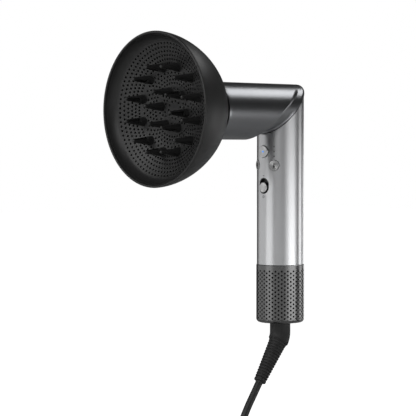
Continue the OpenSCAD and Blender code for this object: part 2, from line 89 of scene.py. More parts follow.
camera_data = bpy.data.cameras.new("camera")
camera_data.lens, camera_data.sensor_width = 155.77, 36
camera_data.clip_start, camera_data.clip_end = 0.05, 50
camera = bpy.data.objects.new("camera", camera_data)
camera.matrix_world = Matrix.Translation(aim - DISTANCE * ahead) @ Matrix(
    (right, up, -ahead)
).transposed().to_4x4()
bpy.context.collection.objects.link(camera)
bpy.context.scene.camera = camera
print("camera stands at", tuple(round(c, 3) for c in camera.matrix_world.translation))

# %% [markdown]
# ## Points into meshes
# Every new piece is a surface worked out as whole arrays: a grid of points, and the
# faces between neighbours. This helper puts such arrays into a mesh in one go with
# foreach_set, which is far quicker than adding one face after another. It also measures
# the volume that the faces enclose, and turns them round if it comes out negative, so
# each piece ends with its faces pointing outwards.


# %% From arrays to an object
def mesh_volume(points, faces):
    """Volume inside: a sixth of the sum of each triangle's corners multiplied together."""
    total = 0
    for group in faces:
        for k in range(1, group.shape[1] - 1):
            a, b, c = (points[group[:, j]] for j in (0, k, k + 1))
            total += np.einsum("ij,ij->", a, np.cross(b, c)) / 6
    return total


def make_piece(name, points, faces, finish, body, slot, instead_of=(), uv=None, crease=32):
    """Points in mm and groups of faces become an object that rides on a body."""
    points = np.asarray(points, float).reshape(-1, 3)
    if mesh_volume(points, faces) < 0:
        faces = [group[:, ::-1] for group in faces]
    corners = np.concatenate([group.ravel() for group in faces]).astype(np.int32)
    sizes = np.concatenate([np.full(len(group), group.shape[1]) for group in faces])
    mesh = bpy.data.meshes.new(name)
    mesh.vertices.add(len(points))
    mesh.vertices.foreach_set("co", (points * MM).ravel())
    mesh.loops.add(len(corners))
    mesh.loops.foreach_set("vertex_index", corners)
    mesh.polygons.add(len(sizes))
    mesh.polygons.foreach_set("loop_start", np.cumsum(sizes) - sizes)
    mesh.polygons.foreach_set("loop_total", sizes)
    mesh.update(calc_edges=True)
    if uv is not None:
        layer = mesh.uv_layers.new(name="turned")
        layer.data.foreach_set("uv", np.asarray(uv, float)[corners].ravel())
    mesh.polygons.foreach_set("use_smooth", np.ones(len(sizes), bool))
    mesh.set_sharp_from_angle(angle=np.radians(crease))
    mesh.validate()
    mesh.materials.append(finish)
    piece = bpy.data.objects.new(name, mesh)
    bpy.context.collection.objects.link(piece)
    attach(piece, body)
    if instead_of:
        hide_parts(*instead_of)
    print(f"{name}: {len(points)} points, {sum(s - 2 for s in sizes)} triangles")
    return piece


def grid_quads(rows, columns, ring_rows=False, start=0):
    """Quads of a grid whose last column meets its first, and whose rows may too."""
    row = np.arange(rows if ring_rows else rows - 1)[:, None]
    column, beside = np.arange(columns), (np.arange(columns) + 1) % columns
    below = (row + 1) % rows
    quads = [row * columns + column, row * columns + beside]
    quads += [below * columns + beside, below * columns + column]
    return np.stack(quads, -1).reshape(-1, 4) + start


print("a grid of 3 rings of 8 points has", len(grid_quads(3, 8)), "quads")

# %% [markdown]
# ## Grain, brushing, worn edges and woven threads as shared effects
# A moulded or blasted surface isn't one flat colour: it has a fine grain that breaks up
# its highlights, and a slow drift in tone. Both come from noise on Object coordinates,
# so they stay put on the piece. They are built once as node groups with named inputs
# and outputs, and each finish below places them with its own scale.


# %% Node groups
def new_group(name, inputs, outputs):
    """An empty node group with its sockets, and its two end nodes."""
    group = bpy.data.node_groups.new(name, "ShaderNodeTree")
    for label, kind, value in inputs:
        socket = group.interface.new_socket(label, in_out="INPUT", socket_type=kind)
        if value is not None:
            socket.default_value = value
    for label, kind in outputs:
        group.interface.new_socket(label, in_out="OUTPUT", socket_type=kind)
    return group, group.nodes.new("NodeGroupInput"), group.nodes.new("NodeGroupOutput")


def add_node(tree, kind, **settings):
    """A node with its properties set, and its inputs set where a name is an input's."""
    node = tree.nodes.new(kind)
    for key, value in settings.items():
        if hasattr(node, key):
            setattr(node, key, value)
        else:
            node.inputs[key].default_value = value
    return node


# Fine grain and slow drift: two noises of different size, each from 0 to 1.
grain, grain_in, grain_out = new_group(
    "surface_grain",
    [("Vector", "NodeSocketVector", None), ("Fine Scale", "NodeSocketFloat", 2500.0),
     ("Drift Scale", "NodeSocketFloat", 30.0)],
    [("Fine", "NodeSocketFloat"), ("Drift", "NodeSocketFloat")])
for label, detail in (("Fine", 2.0), ("Drift", 3.0)):
    noise = add_node(grain, "ShaderNodeTexNoise", Detail=detail, Roughness=0.55)
    grain.links.new(grain_in.outputs["Vector"], noise.inputs["Vector"])
    grain.links.new(grain_in.outputs[label + " Scale"], noise.inputs["Scale"])
    grain.links.new(noise.outputs["Fac"], grain_out.inputs[label])

# Worn edges: the mask is light where the surface bulges, as at a rim or a rib.
wear, wear_in, wear_out = new_group(
    "edge_wear", [("From", "NodeSocketFloat", 0.52), ("To", "NodeSocketFloat", 0.62)],
    [("Mask", "NodeSocketFloat")])
bulge = add_node(wear, "ShaderNodeNewGeometry")
ramp = add_node(wear, "ShaderNodeMapRange")
wear.links.new(bulge.outputs["Pointiness"], ramp.inputs["Value"])
wear.links.new(wear_in.outputs["From"], ramp.inputs["From Min"])
wear.links.new(wear_in.outputs["To"], ramp.inputs["From Max"])
wear.links.new(ramp.outputs["Result"], wear_out.inputs["Mask"])

# Woven wires: two sets of bands that cross, as on a filter gauze or a tie's fabric.
gauze, gauze_in, gauze_out = new_group(
    "crossed_threads", [("Vector", "NodeSocketVector", None), ("Threads", "NodeSocketFloat", 400.0)],
    [("Height", "NodeSocketFloat")])
bands = []
for direction in ("Z", "DIAGONAL"):
    wave = add_node(gauze, "ShaderNodeTexWave", bands_direction=direction)
    gauze.links.new(gauze_in.outputs["Vector"], wave.inputs["Vector"])
    gauze.links.new(gauze_in.outputs["Threads"], wave.inputs["Scale"])
    bands.append(wave)
highest = add_node(gauze, "ShaderNodeMath", operation="MAXIMUM")
gauze.links.new(bands[0].outputs["Fac"], highest.inputs[0])
gauze.links.new(bands[1].outputs["Fac"], highest.inputs[1])
gauze.links.new(highest.outputs[0], gauze_out.inputs["Height"])
print("node groups:", [group.name for group in (grain, wear, gauze)])

# %% [markdown]
# ## One recipe for the finishes
# Metal, plastic, rubber and enamel differ in a few numbers: their two tones, how rough
# they are and how deep their grain is. So one function builds them all on the Principled
# shader. The drift moves the colour between two tones, the fine grain moves the
# roughness and gives a bump, and the wear mask lightens the edges. Anything that is the
# same all over, such as how metallic it is, is set on the shader's own socket.


# %% Finishes
FINISHES = {}


def make_finish(name, dark, light, roughness, metallic=0.0, fine=2500.0, drift=30.0, bump=0.1,
                depth=0.02, edge=None, stretch=(1, 1, 1), threads=None, turned=0.0, **sockets):
    """Files a Principled finish whose tone drifts from dark to light over grain of a depth in mm."""
    material = bpy.data.materials.new(name)
    material.use_nodes = True
    tree = material.node_tree
    shader = tree.nodes["Principled BSDF"]
    place = add_node(tree, "ShaderNodeTexCoord")
    mapping = add_node(tree, "ShaderNodeMapping", Scale=stretch)
    tree.links.new(place.outputs["Object"], mapping.inputs["Vector"])
    effect = add_node(tree, "ShaderNodeGroup", node_tree=grain)
    effect.inputs["Fine Scale"].default_value = fine
    effect.inputs["Drift Scale"].default_value = drift
    tree.links.new(mapping.outputs["Vector"], effect.inputs["Vector"])

    tone = add_node(tree, "ShaderNodeMix", data_type="RGBA")
    tone.inputs[6].default_value, tone.inputs[7].default_value = (*dark, 1), (*light, 1)
    tree.links.new(effect.outputs["Drift"], tone.inputs["Factor"])
    colour = tone.outputs[2]
    if edge:
        worn = add_node(tree, "ShaderNodeGroup", node_tree=wear)
        lighter = add_node(tree, "ShaderNodeMix", data_type="RGBA")
        lighter.inputs[7].default_value = (*edge, 1)
        tree.links.new(worn.outputs["Mask"], lighter.inputs["Factor"])
        tree.links.new(colour, lighter.inputs[6])
        colour = lighter.outputs[2]
    tree.links.new(colour, shader.inputs["Base Color"])

    spread = add_node(tree, "ShaderNodeMapRange")
    spread.inputs["To Min"].default_value = roughness[0]
    spread.inputs["To Max"].default_value = roughness[1]
    tree.links.new(effect.outputs["Fine"], spread.inputs["Value"])
    tree.links.new(spread.outputs["Result"], shader.inputs["Roughness"])

    relief = add_node(tree, "ShaderNodeBump", Strength=bump, Distance=depth * MM)
    height = effect.outputs["Fine"]
    if threads:
        weave = add_node(tree, "ShaderNodeGroup", node_tree=gauze)
        weave.inputs["Threads"].default_value = threads
        tree.links.new(place.outputs["Object"], weave.inputs["Vector"])
        height = weave.outputs["Height"]
    tree.links.new(height, relief.inputs["Height"])
    tree.links.new(relief.outputs["Normal"], shader.inputs["Normal"])
    shader.inputs["Metallic"].default_value = metallic
    if turned:
        shader.inputs["Anisotropic"].default_value = turned
        around = add_node(tree, "ShaderNodeTangent", direction_type="UV_MAP", uv_map="turned")
        tree.links.new(around.outputs["Tangent"], shader.inputs["Tangent"])
    for socket, value in sockets.items():
        shader.inputs[socket.replace("_", " ")].default_value = value
    FINISHES[name] = material


def grey(value):
    """The same number for red, green and blue."""
    return (value, value, value)


make_finish("satin_silver", (0.60, 0.605, 0.615), (0.66, 0.665, 0.675), (0.27, 0.33), metallic=1.0,
            bump=0.06)
make_finish("gunmetal", (0.245, 0.25, 0.262), (0.285, 0.29, 0.30), (0.28, 0.33), metallic=1.0,
            bump=0.06)
make_finish("sleeve_metal", grey(0.15), grey(0.19), (0.24, 0.30), metallic=1.0, bump=0.06)
make_finish("spun_metal", grey(0.66), grey(0.74), (0.26, 0.34), metallic=1.0, turned=0.85, bump=0.03)
make_finish("black_rubber", grey(0.012), grey(0.02), (0.55, 0.7), fine=1500, bump=0.3,
            edge=grey(0.05))
make_finish("grey_rubber", grey(0.02), grey(0.035), (0.5, 0.62), fine=1500, bump=0.25,
            edge=grey(0.06))
make_finish("black_plastic", grey(0.014), grey(0.022), (0.35, 0.5), fine=1800, bump=0.2,
            edge=grey(0.05))
make_finish("diffuser_black", grey(0.013), grey(0.02), (0.38, 0.5), fine=2200, bump=0.25,
            edge=grey(0.03))
make_finish("plug_plastic", grey(0.015), grey(0.025), (0.4, 0.55), fine=1200, bump=0.3,
            edge=grey(0.05))
make_finish("bright_steel", grey(0.62), grey(0.7), (0.18, 0.28), metallic=1.0, stretch=(1, 1, 0.1),
            bump=0.05)
make_finish("mica", (0.50, 0.42, 0.26), (0.66, 0.58, 0.40), (0.3, 0.55), fine=700, drift=120,
            bump=0.3, Coat_Weight=0.3)
make_finish("heater_wire", (0.30, 0.25, 0.20), (0.42, 0.36, 0.30), (0.3, 0.5), metallic=1.0,
            drift=200)
make_finish("ceramic_white", (0.72, 0.70, 0.64), (0.80, 0.78, 0.74), (0.4, 0.6), fine=1600, bump=0.2)
make_finish("blue_plastic", (0.03, 0.09, 0.22), (0.05, 0.12, 0.28), (0.35, 0.5), bump=0.15)
make_finish("lead_insulation", (0.04, 0.08, 0.28), (0.06, 0.11, 0.34), (0.35, 0.45), bump=0.1)
make_finish("cast_aluminium", grey(0.5), grey(0.6), (0.35, 0.5), metallic=1.0, fine=900, bump=0.4)
make_finish("lamination_steel", grey(0.28), grey(0.36), (0.35, 0.5), metallic=1.0,
            stretch=(0.05, 0.05, 1), fine=1500, bump=0.5)
make_finish("copper_wire", (0.62, 0.27, 0.12), (0.75, 0.36, 0.18), (0.25, 0.4), metallic=1.0,
            fine=900, bump=0.5)
make_finish("magnet_grey", grey(0.1), grey(0.14), (0.4, 0.55), metallic=0.7, fine=1200)
make_finish("circuit_board", (0.01, 0.07, 0.03), (0.02, 0.12, 0.05), (0.3, 0.5), fine=500, drift=220,
            bump=0.3, Coat_Weight=0.4)
make_finish("led_white", grey(0.09), grey(0.12), (0.25, 0.35), bump=0.05, Coat_Weight=0.5)
make_finish("led_blue", (0.03, 0.22, 0.85), (0.05, 0.30, 0.95), (0.25, 0.35), bump=0.05,
            Emission_Color=(0.06, 0.33, 1.0, 1), Emission_Strength=0.8)
make_finish("filter_mesh", grey(0.006), grey(0.01), (0.5, 0.7), threads=500.0, bump=0.6, depth=0.15)
make_finish("cord_sheath", grey(0.012), grey(0.018), (0.42, 0.55), fine=1400, bump=0.2)
make_finish("tie_fabric", grey(0.015), grey(0.03), (0.7, 0.9), threads=500.0, bump=0.6, depth=0.2,
            Sheen_Weight=0.3)
make_finish("plated_brass", (0.70, 0.60, 0.38), (0.78, 0.68, 0.45), (0.2, 0.3), metallic=1.0,
            stretch=(1, 1, 0.1))
make_finish("printed_grey", grey(0.05), grey(0.07), (0.5, 0.6), bump=0.1)
print(len(FINISHES), "finishes")

# %% [markdown]
# ## Finishes for the CAD pieces
# Most inner pieces, and some outer ones, are shown as the CAD model has them. The record
# names a material slot for each, so one loop gives every node its finish. Pieces that
# get a new surface below are hidden there, but keep their finish all the same.

# %% Finish every CAD node
slot_of = {part["node"]: part["material_slot"] for part in frame["record"]["subparts"]}
for node, shape in frame["nodes"].items():
    shape.data.materials.clear()
    shape.data.materials.append(FINISHES[slot_of[node]])
print("finished", len(slot_of), "CAD nodes")

# %% [markdown]
# ## The cord
# A mains lead is one length of rubber with a fixed diameter. It leaves the boot in line
# with it, hangs, and is put away as a hank: six turns side by side, each one two straight
# runs and two round folds. Its route is points on one line. The loose parts run through
# the same points as the CAD model and are smoothed by a Catmull-Rom formula, and the
# hank is one turn repeated with a step sideways of one diameter.

# %% Cord
CORD_D = 6.5
cord_points = np.array([[0, -25.4, -138.8], [0, -32.3, -149.1], [0, -39.3, -159.5], [0, -45.9, -171],
                        [0, -50.6, -182.5], [0, -53.3, -194], [0, -54, -206], [0, -54, -218]])
tail_points = np.array([[34.5, -76, -209.2], [38, -66, -211], [41.5, -58.5, -217],
                        [44, -55.5, -226], [45, -56, -236], [45, -58, -246], [45, -60, -256]])
TURNS, FOLD_R, FOLD_Y = 6, 3 * CORD_D, -73.5
FOLD_TOP, FOLD_LOW = -228.75, -306.75


def smooth_line(points, steps):
    """Catmull-Rom: between two points, a cubic whose slopes are half of their neighbours' gap."""
    padded = np.vstack([2 * points[0] - points[1], points, 2 * points[-1] - points[-2]])
    t = np.linspace(0, 1, steps, endpoint=False)[:, None]
    a, b, c, d = (padded[k:len(padded) - 3 + k, None] for k in range(4))
    line = b + t * (c - a) / 2 + t**2 * (a - 2.5 * b + 2 * c - d / 2)
    line = line + t**3 * (1.5 * (b - c) + (d - a) / 2)
    return np.vstack([line.reshape(-1, 3), points[-1]])


def ease(t):
    """From 0 to 1 with a level start and end: three t squared less two t cubed."""
    t = np.clip(t, 0, 1)
    return t * t * (3 - 2 * t)


def one_turn():
    """Down the front run, round the lower fold, up the back run and over the upper fold."""
    down = np.linspace(FOLD_TOP, FOLD_LOW, 10, endpoint=False)
    bend = np.linspace(0, np.pi, 12, endpoint=False)
    y = np.concatenate([np.full(10, FOLD_R), FOLD_R * np.cos(bend), np.full(10, -FOLD_R),
                        -FOLD_R * np.cos(bend)])
    z = np.concatenate([down, FOLD_LOW - FOLD_R * np.sin(bend), down[::-1],
                        FOLD_TOP + FOLD_R * np.sin(bend)])
    x = np.concatenate([np.zeros(32), CORD_D * ease(bend / np.pi)])
    return np.stack([x, y + FOLD_Y, z], -1)


turn = one_turn()
hank = (turn + np.arange(TURNS)[:, None, None] * [CORD_D, 0, 0]).reshape(-1, 3)[:-10]
route = np.vstack([smooth_line(cord_points, 3)[:-1], hank[1:], smooth_line(tail_points, 4)])

cord_curve = bpy.data.curves.new("mains_cord", "CURVE")
cord_curve.dimensions, cord_curve.bevel_depth = "3D", CORD_D / 2 * MM
cord_curve.bevel_resolution, cord_curve.use_fill_caps = 5, True
line = cord_curve.splines.new("POLY")
line.points.add(len(route) - 1)
line.points.foreach_set("co", np.column_stack([route * MM, np.ones(len(route))]).ravel())
line.use_smooth = True
cord_curve.materials.append(FINISHES["cord_sheath"])
mains_cord = bpy.data.objects.new("mains_cord", cord_curve)
bpy.context.collection.objects.link(mains_cord)
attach(mains_cord, "dryer")
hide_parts("cord", "cord_hank", "cord_tail")
cord_length = np.linalg.norm(np.diff(route, axis=0), axis=1).sum()
print(f"cord: {len(route)} points, {cord_length / 1000:.3f} m long")

# %% [markdown]
# ## The plug and the tie
# The plug is moulded round the wires: a neck that widens into a flat body with grip
# ridges. Its section is a superellipse, which is a rounded rectangle with one formula,
# and a profile of widths carries it along. The tie is a strap wrapped round the hank, so
# it is a closed flat band carried round a rounded rectangle.


# %% Plug and tie
def superellipse(width, depth, power, count):
    """x is half the width times the cosine to 2/power, y half the depth times the sine so."""
    a = np.linspace(0, 2 * np.pi, count, endpoint=False)
    c, s = np.cos(a), np.sin(a)
    x = np.sign(c) * np.abs(c) ** (2 / power) * np.asarray(width)[:, None] / 2
    y = np.sign(s) * np.abs(s) ** (2 / power) * np.asarray(depth)[:, None] / 2
    return x, y


def closed_tube(rings):
    """Points and quads of rings along a path, with a flat fan of faces closing each end."""
    rows, columns = rings.shape[:2]
    points = np.vstack([rings.reshape(-1, 3), rings[0].mean(0), rings[-1].mean(0)])
    c = np.arange(columns)
    beside = (c + 1) % columns
    first = np.stack([beside, c, np.full(columns, rows * columns)], -1)
    last = (rows - 1) * columns
    end = np.stack([last + c, last + beside, np.full(columns, rows * columns + 1)], -1)
    return points, [grid_quads(rows, columns), first, end]


plug_low, plug_high = (np.array(corner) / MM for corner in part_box("plug_body"))
plug_centre = (plug_low + plug_high) / 2
along = np.array([0, 0.6, 3, 6, 9, 12, 14, 15.5, 17, 17.8, 18.6, 19.4, 20.2, 21, 21.8, 22.6, 23.4,
                  24.2, 25, 25.8, 27, 30, 33, 34.8, 35.6, 36])
plug_width = np.interp(along, [0, 0.6, 12, 16, 20, 34.8, 36], [7.8, 8.4, 10.5, 13.6, 15, 15, 13.4])
plug_depth = np.interp(along, [0, 0.6, 10, 15, 20, 30, 34.8, 36], [7.8, 8.4, 11, 19, 24, 25, 25, 23])
ridge = 0.7 * (np.cos((along - 17) / 1.6 * 2 * np.pi) < 0) * (along > 17) * (along < 26)
x, y = superellipse(plug_width - 2 * ridge, plug_depth, 3.2, 64)
rings = np.stack([x, y, np.broadcast_to(-along[:, None], x.shape)], -1)
rings += [plug_centre[0], plug_centre[1], plug_high[2]]
plug = make_piece("plug_moulding", *closed_tube(rings), FINISHES["plug_plastic"], "dryer",
                  "plug_plastic", ["plug_body"])

tie_low, tie_high = (np.array(corner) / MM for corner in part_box("cord_tie"))
tie_size = tie_high - tie_low
wrap = np.array([[0, 0], [0.25, -0.25], [0.6, -0.6], [0.8, -1.2], [0.8, -12.8], [0.6, -13.4],
                 [0.25, -13.75], [0, -14]])
outer_x, outer_y = superellipse(tie_size[0] - 1.2 + 2 * (wrap[:, 0] - 0.4), tie_size[1] - 1.2
                                + 2 * (wrap[:, 0] - 0.4), 14, 96)
inner_x, inner_y = superellipse(np.full(8, tie_size[0] - 2.6), np.full(8, tie_size[1] - 2.6), 14, 96)
band = np.concatenate([
    np.stack([outer_x, outer_y, np.broadcast_to(wrap[:, 1:], outer_x.shape)], -1),
    np.stack([inner_x, inner_y, np.broadcast_to(wrap[::-1, 1:], inner_x.shape)], -1)])
band += [*((tie_low + tie_high) / 2)[:2], tie_high[2]]
tie = make_piece("hank_tie", band, [grid_quads(16, 96, ring_rows=True)], FINISHES["tie_fabric"],
                 "dryer", "tie_fabric", ["cord_tie"])

# %% [markdown]
# ## The body: a bent tube that swells into the barrel
# The gunmetal body is one aluminium shell. A tube as wide as the handle turns a mitred
# corner, and then steps out into the wider barrel: a crisp ledge underneath that fades
# out half way up, so the top line stays straight. A tube with a bend that changes round
# its girth isn't a plain sweep, so each line along it is worked out by its angle round
# the tube: up from the seam, round the corner, level to the ledge, over it, and on to
# the front edge. A second, smaller set of lines makes the inside.

# %% Body shell
ELBOW_Z, BARREL_Z, BARREL_R, ELBOW_R, WALL = 102.4, 98.8, 24.8, 21.2, 1.8
FRONT, MITRE_Z, SEAM = 84.7, 100, 0.566
LEDGE_AT, LEDGE_SLOPE = 16, 27.5


def body_lines(elbow_r, barrel_r, ledge_shift, front, girth=180):
    """Lines along the tube by angle a from underneath, as rows of x, forward and z.

    A line starts at x = r sin a, y = -r cos a on the seam's 45 degree plane, goes up to
    the corner plane 2.4 mm above, turns there on a quarter ellipse, and runs forward.
    Its x and z then ease from the elbow's circle to the barrel's across the ledge, which
    is narrow underneath and wide above mid-height.
    """
    a = np.linspace(0, 2 * np.pi, girth, endpoint=False)
    cos, sin = np.cos(a), np.sin(a)
    back = (1 - cos) / 2
    y = -elbow_r * cos
    rise, reach = 0.8 + 1.0 * back, 0.8 + 2.4 * back
    up = np.linspace(MITRE_Z + y + SEAM, ELBOW_Z + y - rise, 4, endpoint=False)
    turn = np.linspace(0, np.pi / 2, 9)[:, None]
    bend_s = -y + reach * (1 - np.cos(turn))
    bend_z = ELBOW_Z + y - rise * (1 - np.sin(turn))
    width = 1.5 + 8 * ease((back - 0.2) / 0.3)
    start = LEDGE_AT + ledge_shift + LEDGE_SLOPE * cos - width / 2
    level = np.linspace(bend_s[-1], start, 9)[1:-1]
    ledge = start + width * (1 - np.cos(np.linspace(0, np.pi, 21)[:, None])) / 2
    ahead = np.linspace(ledge[-1], np.full(girth, front), 22)[1:]
    s = np.vstack([level, ledge, ahead])
    mix = ease((s - start) / width)
    x = sin * (elbow_r + (barrel_r - elbow_r) * mix)
    z = ELBOW_Z - elbow_r * cos + (BARREL_Z - ELBOW_Z - (barrel_r - elbow_r) * cos) * mix
    x = np.vstack([np.broadcast_to(elbow_r * sin, (13, girth)), x])
    s = np.vstack([np.broadcast_to(-y, (4, girth)), bend_s, s])
    return np.stack([x, -s, np.vstack([up, bend_z, z])], -1)


def barrel_ring(radius, forward, girth=180):
    """One ring of the barrel's axis at a radius and a distance forward."""
    a = np.linspace(0, 2 * np.pi, girth, endpoint=False)
    return np.stack([radius * np.sin(a), np.full(girth, -forward), BARREL_Z - radius * np.cos(a)], -1)


outside = body_lines(ELBOW_R, BARREL_R, 0, FRONT - 0.5)
inside = body_lines(ELBOW_R - WALL, BARREL_R - WALL, 1.2, FRONT - 0.3)[::-1]
lip = np.array([barrel_ring(r, s) for r, s in ((BARREL_R - 0.04, FRONT - 0.3), (BARREL_R - 0.15,
                FRONT - 0.12), (BARREL_R - 0.4, FRONT), (BARREL_R - WALL + 0.15, FRONT))])
body_rings = np.concatenate([outside, lip, inside])
make_piece("body_shell", body_rings, [grid_quads(len(body_rings), 180, ring_rows=True)],
           FINISHES["gunmetal"], "dryer", "gunmetal", ["barrel_shell", "elbow_shell"])

# %% [markdown]
# ## Surfaces full of holes
# The intake sleeve and the diffuser's plate are sheets with hundreds of small holes. A
# boolean cut of each would be slow and leave a ragged mesh, so the holes are part of the
# grid from the start: a hole takes a block of four by four cells, and sixteen quads join
# the block's edge to the hole's rim, on the outside and the inside, with sixteen more
# for its wall. The grid lives on a profile, so the same function makes a tube or a dish.


# %% Perforated sheet
RIM_WALK = np.array([[0, 0], [1, 0], [2, 0], [3, 0], [4, 0], [4, 1], [4, 2], [4, 3],
                     [4, 4], [3, 4], [2, 4], [1, 4], [0, 4], [0, 3], [0, 2], [0, 1]])


def perforated(columns, outer, inner, blocks, hole_r, place):
    """Two sheets, hole rims and walls, from profiles of (radius, along) per row.

    A point is place(radius, angle, along) with its angle a share of the columns. A hole's
    rim is its block's centre plus the hole's radius times (cos, sin), in cells of the
    grid at that radius, so it stays round however long a cell is.
    """
    rows = len(outer)
    row, column = np.mgrid[0:rows, 0:columns]
    index = row * columns + column
    holes = blocks + 2.0
    turn = np.radians(-135 + 22.5 * np.arange(16))
    row_axis = np.arange(rows)
    step = np.hypot(*np.gradient(outer, axis=0).T)
    points, faces, shift = [], [], 0
    covered = np.zeros((rows - 1, columns), bool)
    cells = (blocks[:, None, None, :] + np.stack(np.mgrid[0:4, 0:4], -1)[None]).reshape(-1, 2)
    covered[cells[:, 0], cells[:, 1] % columns] = True
    free_row, free_column = np.nonzero(~covered)
    rims = []
    for sheet, side in ((outer, 1), (inner, -1)):
        angle = 2 * np.pi * column / columns
        flat = place(sheet[row, 0], angle, sheet[row, 1]).reshape(-1, 3)
        radius = np.interp(holes[:, 0], row_axis, outer[:, 0])[:, None]
        cell = np.interp(holes[:, 0], row_axis, step)[:, None]
        at_row = holes[:, :1] + hole_r / cell * np.sin(turn)
        at_column = holes[:, 1:] + hole_r / (radius * 2 * np.pi / columns) * np.cos(turn)
        rim = place(np.interp(at_row, row_axis, sheet[:, 0]), 2 * np.pi * at_column / columns,
                    np.interp(at_row, row_axis, sheet[:, 1])).reshape(-1, 3)
        around = blocks[:, None, :] + RIM_WALK[:, ::-1]
        edge = index[around[..., 0], around[..., 1] % columns] + shift
        rim_index = (shift + len(flat) + np.arange(len(rim))).reshape(-1, 16)
        collar = np.stack([edge, np.roll(edge, -1, 1), np.roll(rim_index, -1, 1), rim_index], -1)
        beside = (free_column + 1) % columns
        plain = np.stack([index[free_row, free_column], index[free_row, beside],
                          index[free_row + 1, beside], index[free_row + 1, free_column]], -1) + shift
        faces.append(np.concatenate([collar.reshape(-1, 4), plain])[:, ::side])
        rims.append(rim_index)
        points += [flat, rim]
        shift += len(flat) + len(rim)
    front, back = rims
    wall = np.stack([front, np.roll(front, -1, 1), np.roll(back, -1, 1), back], -1)
    faces.append(wall.reshape(-1, 4))
    return np.concatenate(points), faces, shift // 2


def close_edge(columns, first, second, flip=False):
    """Quads between two rings of the same length, given by the number each starts at."""
    c = np.arange(columns)
    beside = (c + 1) % columns
    quads = np.stack([first + c, first + beside, second + beside, second + c], -1)
    return quads[:, ::-1] if flip else quads


def drop_unused(points, faces):
    """Only the points that a face uses, with the faces numbered to match."""
    used = np.unique(np.concatenate([group.ravel() for group in faces]))
    number = np.zeros(len(points), int)
    number[used] = np.arange(len(used))
    return points[used], [number[group] for group in faces]


def on_handle(radius, angle, along):
    """Round the handle's axis, with angle 0 at the front and z as it is."""
    radius, angle, along = np.broadcast_arrays(radius, angle, along)
    return np.stack([radius * np.sin(angle), -radius * np.cos(angle), along], -1)


def on_barrel(radius, angle, along):
    """Round the barrel's axis, with angle 0 toward +X and turning up, and along forward."""
    radius, angle, along = np.broadcast_arrays(radius, angle, along)
    return np.stack([radius * np.cos(angle), -along, BARREL_Z + radius * np.sin(angle)], -1)


print("quads round and through one hole:", 3 * len(RIM_WALK))

# %% [markdown]
# ## The intake sleeve
# Air comes in through a drawn metal sleeve with twelve rows of punched holes, every
# other column half a row lower. It slides down off its cage for cleaning. Its profile
# is a straight wall, a rounded lower corner and a floor with a hole for the cord's boot.

# %% Intake sleeve
SLEEVE_R, SLEEVE_IN, COLUMNS, HOLE_ROWS = 21.25, 20.3, 48, 12
ROW_PITCH, FIRST_HOLE, HOLE_R = 3.63, -41.7, 0.9
SLEEVE_CORNER, SLEEVE_SHEET = 3.4, 0.95
sleeve_top, sleeve_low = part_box("intake_sleeve")[1][2] / MM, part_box("intake_sleeve")[0][2] / MM
quarter = ROW_PITCH / 4
grid_top = FIRST_HOLE + ROW_PITCH / 2
straight = grid_top - quarter * np.arange(4 * HOLE_ROWS + 3)
corner = np.linspace(0, np.pi / 2, 10)[1:]
lower = sleeve_low + SLEEVE_CORNER
outer_z = np.concatenate([[sleeve_top - 0.3, sleeve_top - 1.2], straight,
                          np.linspace(straight[-1], lower, 3)[1:],
                          lower - SLEEVE_CORNER * np.sin(corner), np.full(3, sleeve_low)])
outer_r = np.concatenate([[SLEEVE_R, SLEEVE_R], np.full(len(straight) + 2, SLEEVE_R),
                          SLEEVE_R - SLEEVE_CORNER * (1 - np.cos(corner)), [16, 13, 11.3]])
inner_z = np.maximum(outer_z, sleeve_low + SLEEVE_SHEET)
inner_r = np.minimum(outer_r, SLEEVE_IN)
sleeve_outer, sleeve_inner = np.stack([outer_r, outer_z], -1), np.stack([inner_r, inner_z], -1)
inner_corner = SLEEVE_CORNER - SLEEVE_SHEET
sleeve_inner[-12:-3] = np.stack([SLEEVE_R - SLEEVE_CORNER + inner_corner * np.cos(corner),
                                 lower - inner_corner * np.sin(corner)], -1)

k, c = np.meshgrid(np.arange(HOLE_ROWS), np.arange(COLUMNS), indexing="ij")
blocks = np.stack([2 + 4 * k + 2 * (c % 2), 4 * c], -1).reshape(-1, 2)
cells = 4 * COLUMNS
points, faces, half = perforated(cells, sleeve_outer, sleeve_inner, blocks, HOLE_R, on_handle)
last = (len(sleeve_outer) - 1) * cells
top_ring = on_handle(SLEEVE_R - 0.35, 2 * np.pi * np.arange(cells) / cells, sleeve_top)
points = np.vstack([points, top_ring])
faces += [close_edge(cells, 0, 2 * half, True), close_edge(cells, 2 * half, half, True),
          close_edge(cells, last, half + last)]
make_piece("intake_mesh_sleeve", *drop_unused(points, faces), FINISHES["sleeve_metal"], "sleeve",
           "gunmetal", ["intake_sleeve"])

# %% [markdown]
# ## The diffuser's bowl
# A turned profile: it opens fast out of its collar, straightens towards the rim, and
# ends in a rolled edge. The outside radius follows one power formula, and the inside is
# the same curve drawn in by the wall. A lathe with many narrow rows gives the smooth
# highlight that a moulded bowl has.


# %% Bowl
def lathe(profile, columns, place):
    """A closed profile of (radius, along) turned round an axis: points and quads."""
    angle = 2 * np.pi * np.arange(columns) / columns
    points = place(profile[:, :1], angle[None, :], profile[:, 1:])
    return points.reshape(-1, 3), [grid_quads(len(profile), columns, ring_rows=True)]


